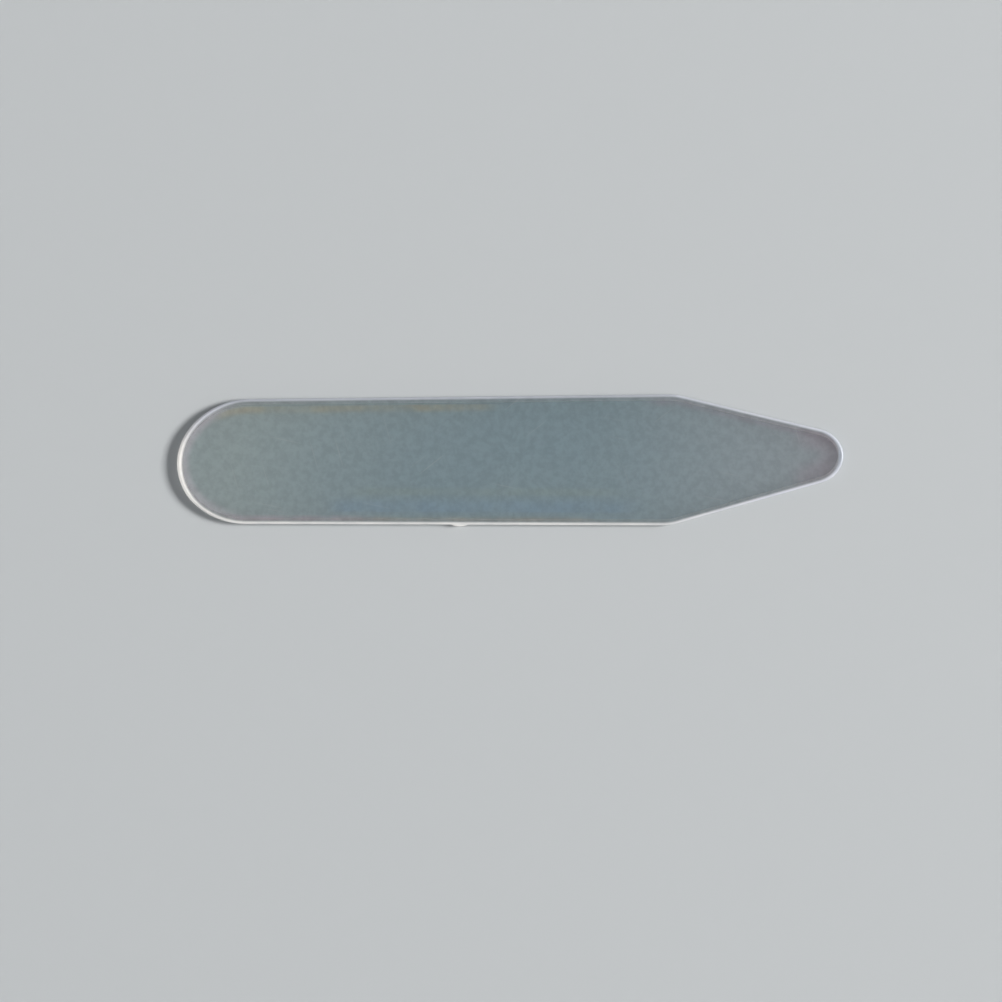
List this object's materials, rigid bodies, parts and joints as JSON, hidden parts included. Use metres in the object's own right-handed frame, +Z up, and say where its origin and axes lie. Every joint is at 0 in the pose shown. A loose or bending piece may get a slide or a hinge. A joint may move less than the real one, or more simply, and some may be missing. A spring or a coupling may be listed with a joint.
{
  "type": "collar stay",
  "caption": "Flat see-through plastic collar stay with a round butt, soft shoulders and a blunt tapered point.",
  "frame": {"origin": "middle of the length and width, on the underside of the sheet", "axes": "+X along the length towards the point, +Y across the width towards the edge with the shorter taper, +Z up through the thickness"},
  "size_m": [0.0508, 0.01, 0.0005],
  "materials": {
    "stay_plastic": "smoky grey see-through plastic with a fine frosted face and a pale rolled edge"
  },
  "bodies": {
    "root": {"stay": "stay_plastic"}
  },
  "joints": []
}
